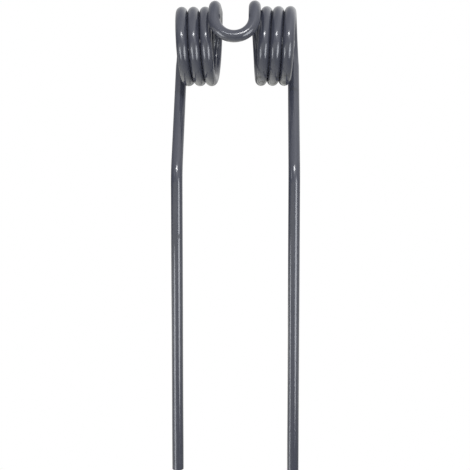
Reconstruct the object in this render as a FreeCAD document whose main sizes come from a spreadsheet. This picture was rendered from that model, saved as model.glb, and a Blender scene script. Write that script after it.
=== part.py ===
"""Double rotary rake tine: one spring wire bent into a centre loop, two coils and two legs.

Millimetres. The tine hangs from its centre loop: +Z is up, X runs along the axis of both coils
and -Y is the side that the loop and the clamp bolt's head face. The origin is the middle of the
loop's round end, where the clamp bolt passes. The wire is drawn on one side, x below zero, and
mirrored across the middle of the loop. Its round section is drawn as narrow flats that have the
area of the circle and stay within 0.06 mm of it, which keeps the mesh of the coils light.
"""

import FreeCAD, Part
import math
import os

Vector = FreeCAD.Vector
TIGHT = 1e-6

# Driving dimensions: alias, value, meaning. Lengths in millimetres, angles in degrees.
SIZES = (
    ("wire_dia", 9.0, "diameter of the spring wire"),
    ("wire_flats", 16, "number of flats that the wire's round section is drawn with"),
    ("wire_corner", "=wire_dia / 2 * sqrt(2 * pi / wire_flats / sin(360 deg / wire_flats))",
     "centre to corner of that section, for the area of the circle"),
    ("coil_bore", 43.0, "inside diameter of a coil"),
    ("coil_gap", 0.15, "clear gap between neighbouring turns"),
    ("full_turns", 3, "whole turns in a coil, before its last part turn into the leg"),
    ("arm_spacing", 30.0, "centre to centre of the loop's two arms"),
    ("loop_exit_angle", 7.0, "how far past the top of the coil an arm leaves it"),
    ("arm_straight", 19.0, "straight run of an arm in front of the coil"),
    ("loop_bend_radius", 14.0, "centreline radius of the bend from arm to loop"),
    ("loop_lean", 10.0, "forward lean of the loop below that bend"),
    ("loop_straight", 0.5, "straight run of wire between that bend and the loop's round end"),
    ("ease_radius", 60.0, "centreline radius that takes the lead of the coil out of the wire"),
    ("leg_lean", 17.5, "forward lean of the upper leg"),
    ("upper_leg", 96.0, "from the coil along the upper leg to the knee corner"),
    ("knee_angle", 25.0, "turn of the wire at the knee"),
    ("knee_radius", 43.0, "centreline radius of the knee"),
    ("lower_leg", 236.0, "from the knee corner to the tip"),
    ("tip_bevel", 0.6, "bevel round the cut end of the wire"),
)


def make_sheet(doc):
    """The spreadsheet that holds the driving dimensions, one row each."""
    sheet = doc.addObject("Spreadsheet::Sheet", "Sizes")
    for row, (alias, value, meaning) in enumerate(SIZES, start=1):
        sheet.set(f"A{row}", meaning)
        sheet.set(f"B{row}", str(value))
        sheet.setAlias(f"B{row}", alias)
    doc.recompute()
    return sheet


def outwards(angle):
    """Unit vector from the coil's axis to the wire, the angle counted from the top to the back."""
    return Vector(0, math.sin(angle), math.cos(angle))


def onwards(angle):
    """Unit vector along the wire at that angle, without the coil's sideways lead."""
    return Vector(0, math.cos(angle), -math.sin(angle))


def setback(radius, turn):
    """How far before a corner its arc of that radius and turn starts."""
    return radius * math.tan(turn / 2)


def rounded_run(corners, radii):
    """Edges of straight runs through the corners, each inner corner a tangent arc of its radius."""
    edges = []
    start = corners[0]
    for before, corner, after, radius in zip(corners, corners[1:], corners[2:], radii):
        arrive = (corner - before).normalize()
        leave = (after - corner).normalize()
        turn = arrive.getAngle(leave)
        arc_start = corner - arrive * setback(radius, turn)
        arc_end = corner + leave * setback(radius, turn)
        inward = (leave - arrive).normalize()
        arc_middle = corner + inward * radius * (1 / math.cos(turn / 2) - 1)
        if start.distanceToPoint(arc_start) > TIGHT:
            edges.append(Part.makeLine(start, arc_start))
        edges.append(Part.Arc(arc_start, arc_middle, arc_end).toShape())
        start = arc_end
    if start.distanceToPoint(corners[-1]) > TIGHT:
        edges.append(Part.makeLine(start, corners[-1]))
    return edges


def coil_edges(radius, pitch, start, first, last):
    """Helix round X from the start point, towards -X."""
    height = pitch * (last - first) / (2 * math.pi)
    helix = Part.makeHelix(pitch, height, radius)
    turned = FreeCAD.Rotation(outwards(first), onwards(first), Vector(-1, 0, 0), "ZXY")
    helix.Placement = FreeCAD.Placement(Vector(start.x, 0, 0), turned)
    return helix.Edges


class Centreline:
    """Centreline of the wire on the side x below zero, with the coil's axis on X through zero."""

    def __init__(self, sheet):
        pitch = sheet.wire_dia + sheet.coil_gap
        coil_radius = (sheet.coil_bore + sheet.wire_dia) / 2
        lead = math.atan(pitch / (2 * math.pi * coil_radius))
        first = -math.radians(sheet.loop_exit_angle)
        last = math.radians(360 * sheet.full_turns + 90 + sheet.leg_lean)
        loop_lean = math.radians(sheet.loop_lean)
        sideways = Vector(-math.sin(lead), 0, 0)
        ease_setback = setback(sheet.ease_radius, lead)
        ease_shift = sheet.ease_radius * (1 - math.cos(lead))

        coil_start = outwards(first) * coil_radius
        coil_start.x = -sheet.arm_spacing / 2 - ease_shift
        coil_end = outwards(last) * coil_radius
        coil_end.x = coil_start.x - pitch * (last - first) / (2 * math.pi)

        loop_radius = sheet.arm_spacing / 2
        along_arm = onwards(first) * -1
        along_loop = Vector(0, -math.sin(loop_lean), -math.cos(loop_lean))
        bend_setback = setback(sheet.loop_bend_radius, along_arm.getAngle(along_loop))
        arm_ease = coil_start - (onwards(first) * math.cos(lead) + sideways) * ease_setback
        arm_corner = arm_ease + along_arm * (ease_setback + sheet.arm_straight + bend_setback)
        round_end = arm_corner + along_loop * (bend_setback + sheet.loop_straight)
        loop_corner = round_end + along_loop * loop_radius
        self.bolt_centre = Vector(0, round_end.y, round_end.z)
        self.loop_bottom = Vector(0, loop_corner.y, loop_corner.z)

        upper = onwards(last)
        self.lower = onwards(last - math.radians(sheet.knee_angle))
        leg_ease = coil_end + (upper * math.cos(lead) + sideways) * ease_setback
        knee = leg_ease + upper * (sheet.upper_leg - ease_setback)
        self.leg_end = knee + self.lower * sheet.lower_leg

        loop = rounded_run(
            [self.loop_bottom, loop_corner, arm_corner, arm_ease, coil_start],
            [loop_radius, sheet.loop_bend_radius, sheet.ease_radius],
        )
        coil = coil_edges(coil_radius, pitch, coil_start, first, last)
        leg = rounded_run(
            [coil_end, leg_ease, knee, self.leg_end],
            [sheet.ease_radius, sheet.knee_radius],
        )
        self.wire = Part.Wire(loop + coil + leg)

    def beyond_tip(self, point):
        """How far the point is past the plane of the cut end."""
        return (point - self.leg_end).dot(self.lower)


def make_half(doc, sheet, line):
    """One side of the tine: the section swept along the centreline, with its cut end bevelled."""
    path = doc.addObject("Part::Feature", "Path")
    path.Shape = line.wire

    section = doc.addObject("Part::RegularPolygon", "Section")
    section.setExpression("Polygon", "Sizes.wire_flats")
    section.setExpression("Circumradius", "Sizes.wire_corner")
    across = FreeCAD.Rotation(Vector(0, 0, 1), Vector(1, 0, 0))
    section.Placement = FreeCAD.Placement(line.loop_bottom, across)

    swept = doc.addObject("Part::Sweep", "SweptWire")
    swept.Sections = [section]
    swept.Spine = (path, [f"Edge{number + 1}" for number in range(len(line.wire.Edges))])
    swept.Solid = True

    doc.recompute()
    half = doc.addObject("Part::Chamfer", "HalfTine")
    half.Base = swept
    half.Edges = [
        (number, sheet.tip_bevel, sheet.tip_bevel)
        for number, edge in enumerate(swept.Shape.Edges, start=1)
        if all(line.beyond_tip(vertex.Point) > -TIGHT for vertex in edge.Vertexes)
    ]
    return half


def make_tine(doc, half, line):
    """The whole tine: the half and its mirror image, moved so that the bolt is the origin."""
    mirrored = doc.addObject("Part::Mirroring", "OtherHalf")
    mirrored.Source = half
    mirrored.Normal = Vector(1, 0, 0)

    tine = doc.addObject("Part::MultiFuse", "Tine")
    tine.Label = "tine"
    tine.Shapes = [half, mirrored]
    tine.Refine = True
    tine.Placement = FreeCAD.Placement(line.bolt_centre * -1, FreeCAD.Rotation())
    return tine


def check_document(doc):
    """Stop if any object failed to build."""
    for item in doc.Objects:
        if "Invalid" in item.State or "Error" in item.State:
            raise RuntimeError(f"{item.Name} failed: {item.State}")


def check_tine(tine, sheet, line):
    """Stop if the tine isn't one sound solid with the volume of its wire."""
    shape = tine.Shape
    if shape.isNull() or not shape.isValid() or len(shape.Solids) != 1:
        raise RuntimeError(f"{tine.Label} isn't one valid solid")
    area = math.pi * sheet.wire_dia**2 / 4
    expected = 2 * area * line.wire.Length
    if abs(shape.Volume / expected - 1) > 0.005:
        raise RuntimeError(f"volume {shape.Volume:.0f} mm3 where the wire has {expected:.0f} mm3")
    print(f"volume {shape.Volume:.0f} mm3, of the wire's length and section {expected:.0f} mm3")


def main():
    doc = FreeCAD.newDocument("rotary_rake_tine")
    sheet = make_sheet(doc)
    line = Centreline(sheet)
    half = make_half(doc, sheet, line)
    tine = make_tine(doc, half, line)
    doc.recompute()
    check_document(doc)
    check_tine(tine, sheet, line)

    box = tine.Shape.optimalBoundingBox(False)
    print(f"x {box.XMin:.2f} to {box.XMax:.2f}")
    print(f"y {box.YMin:.2f} to {box.YMax:.2f}")
    print(f"z {box.ZMin:.2f} to {box.ZMax:.2f}")
    print(f"faces {len(tine.Shape.Faces)}, solids {len(tine.Shape.Solids)}")

    os.makedirs("parts", exist_ok=True)
    tine.Shape.exportStep(f"parts/{tine.Label}.step")


main()
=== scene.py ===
# %% [markdown]
# # Rotary rake tine
# A rotary rake gathers hay with pairs of spring fingers. Each pair is one length of spring wire:
# a loop in the middle is clamped to the rake's arm, a coil on either side gives the spring, and a
# long leg hangs from each coil. The whole tine is dipped in a glossy dark blue-grey paint.
# This lesson bends that wire in Blender, paints it and puts it in front of a white background.
# The CAD model is loaded first, because it gives the place of the wire and the box to stay in.

import math
import bpy
from mathutils import Matrix, Vector


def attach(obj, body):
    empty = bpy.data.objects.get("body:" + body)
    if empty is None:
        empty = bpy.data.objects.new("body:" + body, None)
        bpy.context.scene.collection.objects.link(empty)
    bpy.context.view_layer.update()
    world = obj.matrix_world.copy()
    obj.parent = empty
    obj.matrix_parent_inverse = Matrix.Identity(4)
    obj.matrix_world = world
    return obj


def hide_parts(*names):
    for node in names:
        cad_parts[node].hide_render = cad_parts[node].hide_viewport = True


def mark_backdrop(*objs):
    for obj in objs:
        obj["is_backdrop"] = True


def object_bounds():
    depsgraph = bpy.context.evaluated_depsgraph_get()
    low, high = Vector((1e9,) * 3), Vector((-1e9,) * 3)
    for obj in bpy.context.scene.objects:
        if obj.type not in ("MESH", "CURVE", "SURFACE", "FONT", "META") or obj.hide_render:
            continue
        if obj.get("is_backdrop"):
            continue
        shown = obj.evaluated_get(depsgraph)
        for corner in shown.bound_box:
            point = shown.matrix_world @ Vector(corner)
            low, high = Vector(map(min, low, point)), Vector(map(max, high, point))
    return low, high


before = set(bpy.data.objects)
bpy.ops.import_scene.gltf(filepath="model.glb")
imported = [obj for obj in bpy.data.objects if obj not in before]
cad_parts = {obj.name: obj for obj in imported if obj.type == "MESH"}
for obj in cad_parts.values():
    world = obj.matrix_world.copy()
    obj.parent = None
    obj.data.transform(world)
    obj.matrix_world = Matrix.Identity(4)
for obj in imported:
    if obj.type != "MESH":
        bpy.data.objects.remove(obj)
cad_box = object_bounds()
print("CAD nodes:", list(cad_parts))
print("CAD box:", [[round(value, 4) for value in corner] for corner in cad_box])

# %% [markdown]
# ## The bending plan
# A wire part is known by its centreline, so these are the numbers a bender would be given, in
# millimetres and degrees. Blender works in metres, so `mm` turns each length over. The origin is
# the middle of the loop's round end, X runs along both coils and Z points up. Only the side with
# x below zero is bent, because the other side is its mirror image.

# %% Sizes of the wire
def mm(length):
    return length * 0.001


WIRE = mm(4.5)
COIL = mm(26.0)
PITCH = mm(9.15)
ARM_X = mm(-15.0)
COIL_AXIS = Vector((0, mm(37.525), mm(-11.125)))
EASE = mm(60.0)
print("wire %.1f mm thick, coil %.1f mm inside" % (2000 * WIRE, 2000 * (COIL - WIRE)))

# %% [markdown]
# The wire joins the coil a little in front of its top, makes three whole turns and a part turn,
# and leaves it at the back for the leg, which leans forward. The lead is the angle at which the
# wire climbs sideways as it turns.

# %% Angles of the coil
LOOP_EXIT = 7
WHOLE_TURNS = 3
LEG_LEAN = 17.5
LEAD = math.atan(PITCH / (2 * math.pi * COIL))
COIL_START = math.radians(-LOOP_EXIT)
COIL_END = math.radians(WHOLE_TURNS * 360 + 90 + LEG_LEAN)
turned = COIL_END - COIL_START
print("%.2f turns, lead %.2f degrees" % (turned / (2 * math.pi), math.degrees(LEAD)))

# %% [markdown]
# Two directions are needed all the way: out from the coil's axis to the wire, and on along the
# wire. Both are counted from the top of the coil towards the back, which is the way the wire runs.

# %% Directions round the coil
def outwards(angle):
    return Vector((0, math.sin(angle), math.cos(angle)))


def onwards(angle):
    return Vector((0, math.cos(angle), -math.sin(angle)))


SIDEWAYS = Vector((-1, 0, 0))
print("at the coil's start the wire runs", [round(value, 3) for value in onwards(COIL_START)])

# %% [markdown]
# ## Starting with the coil
# A coil is what the Screw modifier is made for: it turns a profile round an axis and moves it
# along at the same time. The profile is a ring of the wire's thickness. It has to stand square to
# the wire, which climbs as it turns, so the ring leans by the lead angle. Were it upright, the
# wire would come out thinner than it is.

# %% A ring of wire at the top of the coil
RING_POINTS = 40
coil_x = ARM_X - EASE * (1 - math.cos(LEAD))

bpy.ops.object.select_all(action="DESELECT")
bpy.ops.mesh.primitive_circle_add(vertices=RING_POINTS, radius=WIRE, fill_type="NOTHING")
wire = bpy.context.object
wire.name = "bent_spring_wire"

wire_way = onwards(COIL_START) * math.cos(LEAD) + SIDEWAYS * math.sin(LEAD)
lean = Vector((0, 0, 1)).rotation_difference(wire_way).to_matrix().to_4x4()
start_on_coil = outwards(COIL_START) * COIL + Vector((coil_x, 0, 0))
wire.data.transform(Matrix.Translation(start_on_coil) @ lean)
print("ring of", len(wire.data.vertices), "points at", [round(1000 * v, 2) for v in start_on_coil])

# %% [markdown]
# The modifier turns round the object's own axis. So the ring is wound with the coil's axis through
# the origin, and the finished coil is moved to its place in the mesh. The paint is glossy and
# every turn is a curved mirror, so the steps are fine enough for smooth reflections.

# %% Wind the coil
STEPS_A_TURN = 144
steps = round(STEPS_A_TURN * turned / (2 * math.pi))
coil_length = PITCH * turned / (2 * math.pi)

screw = wire.modifiers.new("Winding", "SCREW")
screw.axis = "X"
screw.angle = -turned
screw.screw_offset = -coil_length
screw.steps = steps
screw.render_steps = steps
screw.use_merge_vertices = False
screw.use_smooth_shade = True
bpy.ops.object.modifier_apply(modifier=screw.name)
wire.data.transform(Matrix.Translation(COIL_AXIS))
print("coil of", len(wire.data.polygons), "faces in", steps, "steps")
for corner in (min, max):
    print([round(1000 * corner(v.co[axis] for v in wire.data.vertices), 2) for axis in range(3)])

# %% [markdown]
# ## Bending on from both ends
# The coil is a tube that is open at both ends, and the rest of the wire grows out of it, as a
# bender works: a straight run is an extrusion of the end ring, and a bend is a spin of it. Both
# keep the ring square to the wire, so the wire stays round and equally thick everywhere. The
# bender below holds where the end of the wire is and which way it points, so each step needs only
# a length, or a radius and an angle with the side to bend towards. Spin counts its angle the
# other way round than a rotation matrix does, so it gets the angle with a minus.

# %% A wire bender
class Bender:
    """Grows the wire from an open end of the tube."""

    def __init__(self, place, way):
        self.place = place
        self.way = way.normalized()
        for vertex in wire.data.vertices:
            offset = vertex.co - place
            in_plane = abs(offset.dot(self.way)) < mm(0.01)
            vertex.select = in_plane and offset.length < 1.01 * WIRE
        print("end ring of", sum(vertex.select for vertex in wire.data.vertices), "points")
        bpy.ops.object.mode_set(mode="EDIT")

    def straight(self, length):
        step = self.way * length
        bpy.ops.mesh.extrude_region_move(TRANSFORM_OT_translate={"value": step})
        self.place = self.place + step

    def bend(self, towards, radius, angle, steps):
        centre = self.place + towards * radius
        axis = self.way.cross(towards)
        turn = Matrix.Rotation(angle, 3, axis)
        bpy.ops.mesh.spin(steps=steps, angle=-angle, center=centre, axis=axis)
        self.place = centre + turn @ (self.place - centre)
        self.way = turn @ self.way

    def report(self, name):
        print(name, "ends at", [round(1000 * value, 2) for value in self.place],
              "pointing", [round(value, 3) for value in self.way])


# %% [markdown]
# A bend with a radius cuts its corner, so the straight runs beside it are shorter than the
# distance to the corner. The bending plan measures to the corners, and `setback` is what comes
# off. Nothing may be selected before the first bend, because the bender selects its own ring.

# %% Room for the bends
def setback(radius, angle):
    return radius * math.tan(angle / 2)


bpy.ops.object.mode_set(mode="EDIT")
bpy.ops.mesh.select_mode(type="VERT")
bpy.ops.mesh.select_all(action="DESELECT")
bpy.ops.object.mode_set(mode="OBJECT")
print("the easy bend takes %.2f mm off the run after it" % (1000 * setback(EASE, LEAD)))

# %% [markdown]
# The leg leaves the back of the coil. A short easy bend first takes out the climb of the coil, so
# that both legs hang parallel. Then come the upper leg, a knee that turns the leg back under the
# clamp, and the long lower leg that combs the hay.

# %% Bend the leg
UPPER_LEG = mm(96)
LOWER_LEG = mm(236)
KNEE = mm(43)
KNEE_ANGLE = math.radians(25)
BEVEL = mm(0.6)

coil_end = COIL_AXIS + outwards(COIL_END) * COIL
coil_end.x = coil_x - coil_length
leg = Bender(coil_end, onwards(COIL_END) * math.cos(LEAD) + SIDEWAYS * math.sin(LEAD))
leg.bend(onwards(COIL_END) * math.sin(LEAD) - SIDEWAYS * math.cos(LEAD), EASE, LEAD, steps=3)
leg.straight(UPPER_LEG - 2 * setback(EASE, LEAD) - setback(KNEE, KNEE_ANGLE))
leg.bend(outwards(COIL_END), KNEE, KNEE_ANGLE, steps=16)
leg.report("knee")
leg.straight(LOWER_LEG - setback(KNEE, KNEE_ANGLE) - BEVEL)

# %% [markdown]
# The wire is cut square, and the cut loses its sharp edge when the tine is painted. The last short
# run is made narrower at its end, which is the bevel, and one face closes the tube.

# %% Cut the tip with a small bevel
leg.straight(BEVEL)
narrower = 1 - BEVEL / WIRE
bpy.ops.transform.resize(value=(narrower, narrower, narrower), center_override=leg.place)
bpy.ops.mesh.edge_face_add()
bpy.ops.mesh.select_all(action="DESELECT")
bpy.ops.object.mode_set(mode="OBJECT")
leg.report("tip")

# %% [markdown]
# The loop grows out of the other end of the coil, so it is bent backwards: first the easy bend
# that takes out the climb, then a straight arm to the front, a tight bend downwards, and a quarter
# of the round end, which stops on the plane that halves the tine.

# %% Bend the arm and half of the loop
ARM = mm(19)
ARM_BEND = mm(14)
LOOP_LEAN = 10
ARM_BEND_ANGLE = math.radians(90 - LOOP_LEAN - LOOP_EXIT)
LOOP_STRAIGHT = mm(0.5)

arm = Bender(COIL_AXIS + start_on_coil, -wire_way)
arm.bend(SIDEWAYS * math.cos(LEAD) - onwards(COIL_START) * math.sin(LEAD), EASE, LEAD, steps=3)
arm.straight(ARM)
arm.bend(-outwards(COIL_START), ARM_BEND, ARM_BEND_ANGLE, steps=36)
arm.straight(LOOP_STRAIGHT)
arm.bend(-SIDEWAYS, -ARM_X, math.radians(90), steps=48)
bpy.ops.mesh.select_all(action="DESELECT")
bpy.ops.object.mode_set(mode="OBJECT")
arm.report("half loop")

# %% [markdown]
# ## The mirrored half
# The Mirror modifier copies the finished half across the plane through the loop and merges the two
# end rings. Spinning and mirroring can turn faces inside out, so the normals are recalculated. The
# shading is smooth except across sharp edges, which keeps the cut tips crisp.

# %% Mirror, clean and smooth
SHARP_EDGE = math.radians(30)

mirror = wire.modifiers.new("Other half", "MIRROR")
mirror.use_mirror_merge = True
mirror.merge_threshold = mm(0.02)
bpy.ops.object.modifier_apply(modifier=mirror.name)

bpy.ops.object.mode_set(mode="EDIT")
bpy.ops.mesh.select_all(action="SELECT")
bpy.ops.mesh.remove_doubles(threshold=mm(0.005))
bpy.ops.mesh.normals_make_consistent(inside=False)
bpy.ops.mesh.select_all(action="DESELECT")
bpy.ops.object.mode_set(mode="OBJECT")
bpy.ops.object.shade_smooth_by_angle(angle=SHARP_EDGE)

loose_edges = sum(edge.is_loose for edge in wire.data.edges)
triangles = sum(len(face.vertices) - 2 for face in wire.data.polygons)
print("wire:", len(wire.data.polygons), "faces,", triangles, "triangles,",
      loose_edges, "loose edges")

# %% [markdown]
# The wire is one solid piece with nothing that moves, so it rides on the root body. It takes the
# place of the CAD wire, whose section has flats where this one is round.

# %% Put the wire in the place of the CAD wire
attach(wire, "root")
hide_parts("tine")
print(wire.name, "is shown in place of the CAD node tine")

# %% [markdown]
# ## Shader maths in plain expressions
# A finish is mostly sums of masks. One small class wraps a socket, so that `1 - mask * 0.5` adds
# the Math nodes for it. The reflected forms let the number stand on either side.

# %% Sockets that can be added and multiplied
class Mask:
    """A number that varies over the surface."""

    def __init__(self, shader, socket):
        self.shader = shader
        self.socket = socket

    def maths(self, operation, first, second):
        made = self.shader.node("ShaderNodeMath", {"operation": operation}, {0: first, 1: second})
        return Mask(self.shader, made.outputs[0])

    def __add__(self, other):
        return self.maths("ADD", self, other)

    def __radd__(self, other):
        return self.maths("ADD", other, self)

    def __sub__(self, other):
        return self.maths("SUBTRACT", self, other)

    def __rsub__(self, other):
        return self.maths("SUBTRACT", other, self)

    def __mul__(self, other):
        return self.maths("MULTIPLY", self, other)

    def __rmul__(self, other):
        return self.maths("MULTIPLY", other, self)


# %% [markdown]
# Every other node comes from one method, which takes the node's type, its settings, and the values
# or links of its sockets. A shader here is the node tree of a material or of the world.

# %% One way to add any other node
class Shader:
    """The node tree of a material or of the world."""

    def __init__(self, owner):
        owner.use_nodes = True
        self.tree = owner.node_tree
        self.tree.nodes.clear()

    def node(self, kind, settings=None, sockets=None):
        made = self.tree.nodes.new(kind)
        for name, value in (settings or {}).items():
            setattr(made, name, value)
        for name, value in (sockets or {}).items():
            if isinstance(value, Mask):
                value = value.socket
            if isinstance(value, bpy.types.NodeSocket):
                self.tree.links.new(value, made.inputs[name])
            else:
                made.inputs[name].default_value = value
        return made


# %% [markdown]
# Three helpers name what comes back most: `noise` makes lumps of a given size, `between` stretches
# a part of a mask to its whole range, and `blend` mixes two colours by a mask.

# %% Noise, limits and mixed colours
def noise(shader, place, size, detail):
    """Noise from 0 to 1 with lumps of about that size in metres."""
    made = shader.node("ShaderNodeTexNoise", None, {
        "Vector": place, "Scale": 1 / size, "Detail": detail, "Roughness": 0.5})
    return Mask(shader, made.outputs["Fac"])


def between(mask, low, high):
    """The mask stretched so that low becomes 0 and high becomes 1, and cut off outside."""
    made = mask.shader.node("ShaderNodeMapRange", {"clamp": True}, {
        "Value": mask, "From Min": low, "From Max": high})
    return Mask(mask.shader, made.outputs["Result"])


def blend(mask, first, second):
    """The first colour where the mask is 0 and the second where it is 1."""
    made = mask.shader.node("ShaderNodeMix", {"data_type": "RGBA"}, {0: mask, 6: first, 7: second})
    return made.outputs[2]


# %% [markdown]
# ## The paint
# The real tine is dipped, so the paint is glossy, a dark blue-grey, and not quite even: it is a
# little lighter in places and has a few dark specks of grit. The colour varies only a little,
# because the photograph shows one paint, and most of what is seen on it is reflection. The
# pattern reads Object coordinates, so it has its true size everywhere on the wire.

# %% Blue-grey with clouds and specks
PAINT_DARK = (0.047, 0.052, 0.074, 1)
PAINT_LIGHT = (0.057, 0.061, 0.083, 1)
SPECK = (0.020, 0.021, 0.024, 1)
CLOUD_SIZE = mm(30)
SPECK_SIZE = mm(1.1)

paint = bpy.data.materials.new("glossy_blue_grey_paint")
look = Shader(paint)
place = look.node("ShaderNodeTexCoord").outputs["Object"]
cloud = noise(look, place, CLOUD_SIZE, detail=3)
speckle = between(noise(look, place, SPECK_SIZE, detail=1), 0.74, 0.80)
colour = blend(between(cloud, 0.35, 0.65), PAINT_DARK, PAINT_LIGHT)
colour = blend(speckle * 0.7, colour, SPECK)
print("paint with clouds and specks:", len(look.tree.nodes), "nodes")

# %% [markdown]
# Something rubbed the left leg a little below its knee, which left a dull tick across it. Its mask
# is a small ball round that point of the leg: whatever lies inside the ball is rubbed.

# %% A rub mark on the left leg
RUB_PLACE = (mm(-43.2), mm(36.3), mm(-160.6))


def distance(shader, place, point):
    """How far every place is from a point, in metres."""
    made = shader.node("ShaderNodeVectorMath", {"operation": "DISTANCE"}, {0: place, 1: point})
    return Mask(shader, made.outputs["Value"])


rub = 1 - between(distance(look, place, RUB_PLACE), mm(1.5), mm(2.3))
print("rub mark at", [round(1000 * value, 1) for value in RUB_PLACE])

# %% [markdown]
# The undersides of the right coil's turns are scuffed, as if the tine had stood on them. Noise
# gives the scuffs their ragged shape. It is let through only on the right side, in a band at the
# bottom of the coil, and towards the front.

# %% Scuffs under the right coil
SCUFF_SIZE = mm(3.5)


def axes(shader, vector):
    """The three numbers of a vector."""
    made = shader.node("ShaderNodeSeparateXYZ", None, {"Vector": vector})
    return [Mask(shader, made.outputs[name]) for name in "XYZ"]


x, y, z = axes(look, place)
bottom_band = between(0 - z, mm(35), mm(38)) * (1 - between(0 - z, mm(43), mm(44)))
right_side = between(x, 0, mm(1))
front = 1 - between(y, mm(50), mm(52))
ragged = between(noise(look, place, SCUFF_SIZE, detail=2), 0.56, 0.62)
scuff = ragged * bottom_band * right_side * front
print("with the wear:", len(look.tree.nodes), "nodes")

# %% [markdown]
# The gloss comes from a low roughness, and specks, rub mark and scuffs are darker and duller than
# the rest. A dipped coat isn't perfectly flat, so a faint bump lets the long reflections waver.

# %% Glossy coat
GLOSS_ROUGHNESS = 0.14
RIPPLE_SIZE = mm(12)
RIPPLE_HEIGHT = mm(0.2)

ripple = look.node("ShaderNodeBump", None, {
    "Height": noise(look, place, RIPPLE_SIZE, detail=1),
    "Strength": 0.08, "Distance": RIPPLE_HEIGHT})
coat = look.node("ShaderNodeBsdfPrincipled", None, {
    "Base Color": blend(scuff * 0.8 + rub * 0.5, colour, SPECK),
    "Roughness": GLOSS_ROUGHNESS + cloud * 0.04 + speckle * 0.3 + rub * 0.35 + scuff * 0.3,
    "Normal": ripple.outputs["Normal"]})
look.node("ShaderNodeOutputMaterial", None, {"Surface": coat.outputs[0]})
wire.data.materials.clear()
wire.data.materials.append(paint)
print("finished paint:", len(look.tree.nodes), "nodes")

# %% [markdown]
# ## The studio
# The tine hangs in front of plain white. A glossy wire shows the whole room in its reflections,
# and the photograph tells what that room is like: light behind the camera, overhead and on the
# right, and darker on the left and straight behind the tine. So the world is plain white to the
# camera, such a room to the reflections, and a soft even fill to everything else.

# %% World
WORLD_FILL = 0.55
ROOM_DARKEST = 0.12
BEHIND_CAMERA = 0.75
OVERHEAD = 0.65
RIGHT_WALL = 0.65

world = bpy.data.worlds.new("white_studio")
bpy.context.scene.world = world
sky = Shader(world)
rays = sky.node("ShaderNodeLightPath")
camera_ray = Mask(sky, rays.outputs["Is Camera Ray"])
glossy_ray = Mask(sky, rays.outputs["Is Glossy Ray"])
right, away, above = axes(sky, sky.node("ShaderNodeTexCoord").outputs["Generated"])
room = (ROOM_DARKEST + between(0 - away, 0.1, 0.9) * BEHIND_CAMERA
        + between(above, 0.1, 0.6) * OVERHEAD + between(right, -0.1, 0.4) * RIGHT_WALL)
strength = camera_ray + (1 - camera_ray) * (glossy_ray * room + (1 - glossy_ray) * WORLD_FILL)
background = sky.node("ShaderNodeBackground", None, {"Color": (1, 1, 1, 1), "Strength": strength})
sky.node("ShaderNodeOutputWorld", None, {"Surface": background.outputs[0]})
print("world:", len(sky.tree.nodes), "nodes")

# %% [markdown]
# The pale floor lies well below the hanging tine and catches its shadow. One large plane is
# enough, because its edges never show.

# %% Floor
FLOOR_Z = -0.80
FLOOR_SIZE = 24
bpy.ops.object.select_all(action="DESELECT")
bpy.ops.mesh.primitive_plane_add(size=FLOOR_SIZE, location=(0, 0, FLOOR_Z))
floor = bpy.context.object
floor.name = "pale_floor"
floor_paint = bpy.data.materials.new("pale_floor")
floor.data.materials.append(floor_paint)
print("the floor is %.2f m below the tips" % (cad_box[0][2] - FLOOR_Z))

# %% [markdown]
# The undersides of the coils mirror the floor. In the photograph they are bright at the very
# bottom, where they face the ground behind the tine, and a little darker on the right. So the
# floor has a brightness of its own for reflections: a glow round a point behind the tine that
# fades outwards, rises again far away, and is weaker on the right.

# %% Glow of the floor in reflections
GLOW_PLACE = (-0.3, 0.8, 0)
GLOW = 2.2
GLOW_FADES = 1.4
GLOW_RISES = 0.6
GLOW_RIGHT_LOSS = 0.35

ground = Shader(floor_paint)
on_floor = ground.node("ShaderNodeTexCoord").outputs["Object"]
from_glow = distance(ground, on_floor, GLOW_PLACE)
floor_x = axes(ground, on_floor)[0]
glow = (GLOW - between(from_glow, 0.2, 1.5) * GLOW_FADES
        + between(from_glow, 1.9, 2.8) * GLOW_RISES
        - between(floor_x, -0.4, 0.4) * GLOW_RIGHT_LOSS)
print("floor with its glow:", len(ground.tree.nodes), "nodes")

# %% [markdown]
# Away from the tine the floor fades into the white of the background, so no horizon shows. Near
# the tine it is a matt pale grey that takes the shadow. In reflections it is the glow all over, a
# little warmer than white.

# %% Floor that fades to white
WHITE = (1, 1, 1, 1)
GLOW_WARM = (1, 1, 0.92, 1)
PALE_GREY = (0.9, 0.9, 0.9, 1)

mirrored = Mask(ground, ground.node("ShaderNodeLightPath").outputs["Is Glossy Ray"])
far = between(distance(ground, on_floor, (0, 0, 0)), 0.6, 1.6)
white = ground.node("ShaderNodeEmission", None, {
    "Color": blend(mirrored, WHITE, GLOW_WARM), "Strength": (1 - mirrored) + mirrored * glow})
matt = ground.node("ShaderNodeBsdfDiffuse", None, {"Color": PALE_GREY})
faded = ground.node("ShaderNodeMixShader", None, {
    0: far + mirrored, 1: matt.outputs[0], 2: white.outputs[0]})
ground.node("ShaderNodeOutputMaterial", None, {"Surface": faded.outputs[0]})
print("finished floor:", len(ground.tree.nodes), "nodes")

# %% [markdown]
# ## Lamps
# The photograph tells where its lamps are, because every turn of the coil works as a curved
# mirror: across the wire a highlight moves with the lamp's bearing, and along it with the lamp's
# height. The helper places an area lamp by the point it looks at, and a roll turns it about the
# line to that point. It takes the brightness of the lamp's face and not its power, so a highlight
# keeps its strength when the lamp's size changes. An ellipse or a narrow spread sends the same
# power through less, and looks brighter than its number.

# %% A lamp that looks at a point
AIM = Vector((0, mm(20), mm(-15)))


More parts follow.
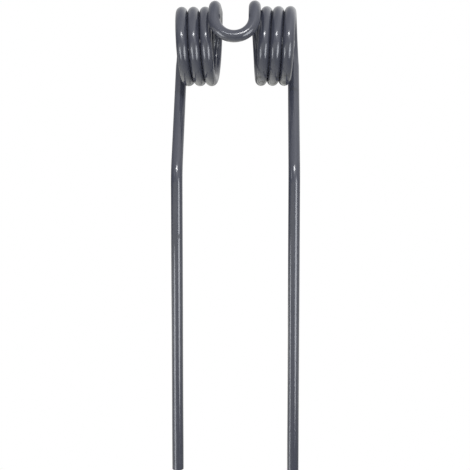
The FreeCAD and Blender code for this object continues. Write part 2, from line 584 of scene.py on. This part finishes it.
def lamp(name, place, aim, width, height, brightness, shape="RECTANGLE", roll=0, spread=180):
    from_aim = Vector(place) - Vector(aim)
    bpy.ops.object.light_add(type="AREA", location=place)
    made = bpy.context.object
    made.name = name
    rolled = Matrix.Rotation(math.radians(roll), 3, "Z")
    made.rotation_euler = (from_aim.to_track_quat("Z", "Y").to_matrix() @ rolled).to_euler()
    made.data.shape = shape
    made.data.size = width
    made.data.size_y = height
    made.data.energy = brightness * math.pi * width * height
    made.data.spread = math.radians(spread)
    made.visible_camera = False
    print(name, "%.2f m away, %.2f W" % (from_aim.length, made.data.energy))
    return made


# %% [markdown]
# The small sharp spot on each turn and each knee comes from a slanting bar high behind the camera.
# The same bar makes the bright part of the line on the loop's round end. It lights the paint too,
# as an ordinary lamp does.

# %% Slanting bar
bar = lamp("bar_over_camera", (0.30, -2.30, 0.86), AIM, 0.24, 0.62, 48, roll=60)

# %% [markdown]
# The other highlights are long and soft. The stripes down the legs come from a soft box on the
# right and a narrow strip close by on the left. Both are ellipses, so the stripes swell and fade
# as they do in the photograph. A small card beside the coils makes the left one of the two stripes
# on each turn. A dim tail to the left of the bar carries its line on along the loop, and a faint
# glow below the bar gives spots and line a soft edge. Such lamps would flood the paint with light,
# so they show in reflections only. The narrow spreads keep the strip off the coils and the card
# off the knees.

# %% Soft lamps for the stripes
SOFT_LIGHT = (0.93, 0.96, 1)
soft_lamps = [
    lamp("bar_tail", (-0.22, -2.32, 0.83), AIM, 0.78, 0.14, 28),
    lamp("bar_glow", (0.40, -2.33, 0.35), AIM, 0.40, 0.70, 1.8, roll=60),
    lamp("soft_box_right", (0.42, -0.38, -0.31), (0, 0.04, -0.31), 0.36, 0.47, 6.0, "ELLIPSE"),
    lamp("strip_left", (-0.105, -0.003, -0.33), (0, 0.057, -0.33), 0.052, 0.30, 2.1, "ELLIPSE",
         roll=-4, spread=100),
    lamp("card_left", (-0.10, -0.055, -0.074), (0, 0.01, -0.020), 0.050, 0.065, 1.9, spread=90),
]
for soft in soft_lamps:
    soft.visible_diffuse = False
    soft.data.color = SOFT_LIGHT

# %% [markdown]
# A wide panel overhead fills the shade and gives the floor its soft shadow. The tops of the coils
# mirror the bright room and not a lamp, so this one is kept out of the reflections.

# %% Overhead panel
panel = lamp("panel_overhead", (0, -0.30, 1.10), AIM, 1.2, 1.2, 1.2)
panel.visible_glossy = False
lamps = [bar, *soft_lamps, panel]
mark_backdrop(floor, *lamps)

# %% [markdown]
# ## The camera
# The camera stands a little below the middle of the tine, to its right, and looks up slightly. Its
# place and lens were worked out from the outlines of the coils, the loop and the legs. The view is
# kept plain: no depth of field, no shift, and colours straight as they are.

# %% Camera at the photograph's viewpoint
IMAGE_PIXELS = 470
FOCUS_PIXELS = 844.54
HEADING = math.radians(2.274)
TILT = math.radians(90 + 3.436)
ROLL = math.radians(0.322)

bpy.ops.object.camera_add(location=(mm(25.78), mm(-615.16), mm(-198.57)))
camera = bpy.context.object
camera.name = "photo_camera"
camera.rotation_euler = (
    Matrix.Rotation(HEADING, 3, "Z")
    @ Matrix.Rotation(TILT, 3, "X")
    @ Matrix.Rotation(ROLL, 3, "Z")
).to_euler()
camera.data.sensor_width = 36
camera.data.lens = camera.data.sensor_width * FOCUS_PIXELS / IMAGE_PIXELS
bpy.context.scene.camera = camera
bpy.context.scene.view_settings.view_transform = "Standard"
print("lens %.2f mm" % camera.data.lens)

# %% Compare the sizes with the CAD box
visual_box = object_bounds()
for cad, visual in zip(cad_box, visual_box):
    print("visual minus CAD:", [round(1000 * (v - c), 2) for c, v in zip(cad, visual)], "mm")
